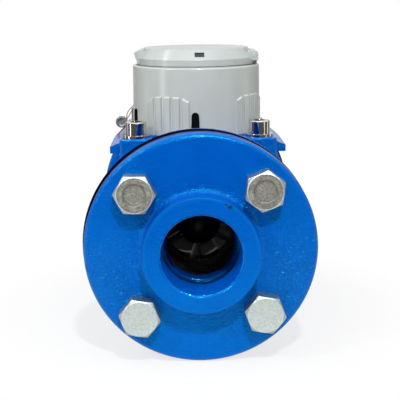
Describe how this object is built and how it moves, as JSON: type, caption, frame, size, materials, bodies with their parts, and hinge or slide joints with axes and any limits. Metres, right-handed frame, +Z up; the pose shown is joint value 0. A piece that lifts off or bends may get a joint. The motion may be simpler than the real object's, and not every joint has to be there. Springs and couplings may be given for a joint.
{
  "type": "woltman water meter",
  "caption": "Horizontal turbine water meter with flanged blue cast body, threaded companion flanges, bolted cover, and a round grey register with a hinged lid and lead seal.",
  "frame": {"origin": "on the flow axis where the inlet thread starts, just inside the mouth's chamfer", "axes": "+Y along the flow from inlet to outlet, +Z up towards the register, +X to the right seen from the inlet"},
  "size_m": [0.1668, 0.266, 0.2186],
  "materials": {
    "blue_epoxy": "glossy epoxy powder coat over cast iron",
    "zinc_steel": "zinc plated",
    "nickel_steel": "nickel plated, polished",
    "black_rubber": "matt",
    "black_plastic": "moulded, semi-gloss",
    "black_lining": "glossy brushed coating",
    "dark_plastic": "moulded, glossy",
    "grey_plastic": "moulded, satin",
    "pale_plastic": "moulded, satin",
    "stainless_steel": "turned",
    "brass": "turned",
    "magnet_ferrite": "pressed ferrite",
    "white_dial": "printed white",
    "red_plastic": "moulded",
    "clear_glass": "clear",
    "copper_wire": "twisted, dull",
    "lead": "soft, dull"
  },
  "bodies": {
    "base": {"inlet_companion_flange": "blue_epoxy", "outlet_companion_flange": "blue_epoxy", "meter_body": "blue_epoxy", "top_cover": "blue_epoxy", "inlet_bolts": "zinc_steel", "outlet_bolts": "zinc_steel", "inlet_nuts": "zinc_steel", "outlet_nuts": "zinc_steel", "cover_screws": "nickel_steel", "cover_washers": "nickel_steel", "inlet_gasket": "black_rubber", "outlet_gasket": "black_rubber", "cover_ring": "black_rubber", "glass_gasket": "black_rubber", "insert_housing": "black_plastic", "tail_cap": "black_plastic", "straightener": "black_plastic", "clamp_ring": "black_plastic", "movement_block": "black_plastic", "inlet_liner": "black_lining", "register_can": "grey_plastic", "insert_screws": "stainless_steel", "drum_axle": "stainless_steel", "hinge_pin": "stainless_steel", "rotor_front_bush": "brass", "rotor_rear_bush": "brass", "shaft_lower_bush": "brass", "shaft_upper_bush": "brass", "magnet_well": "brass", "register_cup": "brass", "dial_plate": "white_dial", "number_drums": "white_dial", "register_glass": "clear_glass", "seal_wire": "copper_wire", "lead_seal": "lead"},
    "lid": {"register_lid": "pale_plastic"},
    "rotor": {"turbine_rotor": "dark_plastic", "rotor_shaft": "stainless_steel", "worm": "stainless_steel"},
    "drive": {"worm_wheel": "black_plastic", "vertical_shaft": "stainless_steel", "drive_magnet": "magnet_ferrite"},
    "follower": {"follower_magnet": "magnet_ferrite", "follower_arbor": "stainless_steel", "star_wheel": "red_plastic"},
    "hand_1": {"pointer_1": "red_plastic"},
    "hand_2": {"pointer_2": "red_plastic"},
    "hand_3": {"pointer_3": "red_plastic"},
    "counter": {"first_drum": "white_dial"}
  },
  "joints": [
    {"name": "lid_hinge", "type": "hinge", "parent": "base", "child": "lid", "pos_m": [0.045, 0.13133, 0.1291], "axis": [0, 1, 0], "range_deg": [0, 110]},
    {"name": "rotor_spin", "type": "hinge", "parent": "base", "child": "rotor", "pos_m": [0, 0.13133, 0], "axis": [0, 1, 0], "continuous": true},
    {"name": "drive_spin", "type": "hinge", "parent": "base", "child": "drive", "pos_m": [0.009, 0.13133, 0], "axis": [0, 0, 1], "continuous": true},
    {"name": "follower_spin", "type": "hinge", "parent": "base", "child": "follower", "pos_m": [0.009, 0.13133, 0.0736], "axis": [0, 0, 1], "continuous": true},
    {"name": "hand_1_spin", "type": "hinge", "parent": "base", "child": "hand_1", "pos_m": [0.02165, 0.11883, 0.1051], "axis": [0, 0, 1], "continuous": true},
    {"name": "hand_2_spin", "type": "hinge", "parent": "base", "child": "hand_2", "pos_m": [0, 0.10633, 0.1051], "axis": [0, 0, 1], "continuous": true},
    {"name": "hand_3_spin", "type": "hinge", "parent": "base", "child": "hand_3", "pos_m": [-0.02165, 0.11883, 0.1051], "axis": [0, 0, 1], "continuous": true},
    {"name": "counter_spin", "type": "hinge", "parent": "base", "child": "counter", "pos_m": [0.01325, 0.14233, 0.0969], "axis": [1, 0, 0], "continuous": true}
  ],
  "couplings": [
    {"joint": "drive_spin", "follows": "rotor_spin", "ratio": 0.0625},
    {"joint": "follower_spin", "follows": "rotor_spin", "ratio": 0.0625},
    {"joint": "hand_1_spin", "follows": "rotor_spin", "ratio": -0.025},
    {"joint": "hand_2_spin", "follows": "rotor_spin", "ratio": -0.0025},
    {"joint": "hand_3_spin", "follows": "rotor_spin", "ratio": -0.00025},
    {"joint": "counter_spin", "follows": "rotor_spin", "ratio": 0.000025}
  ]
}
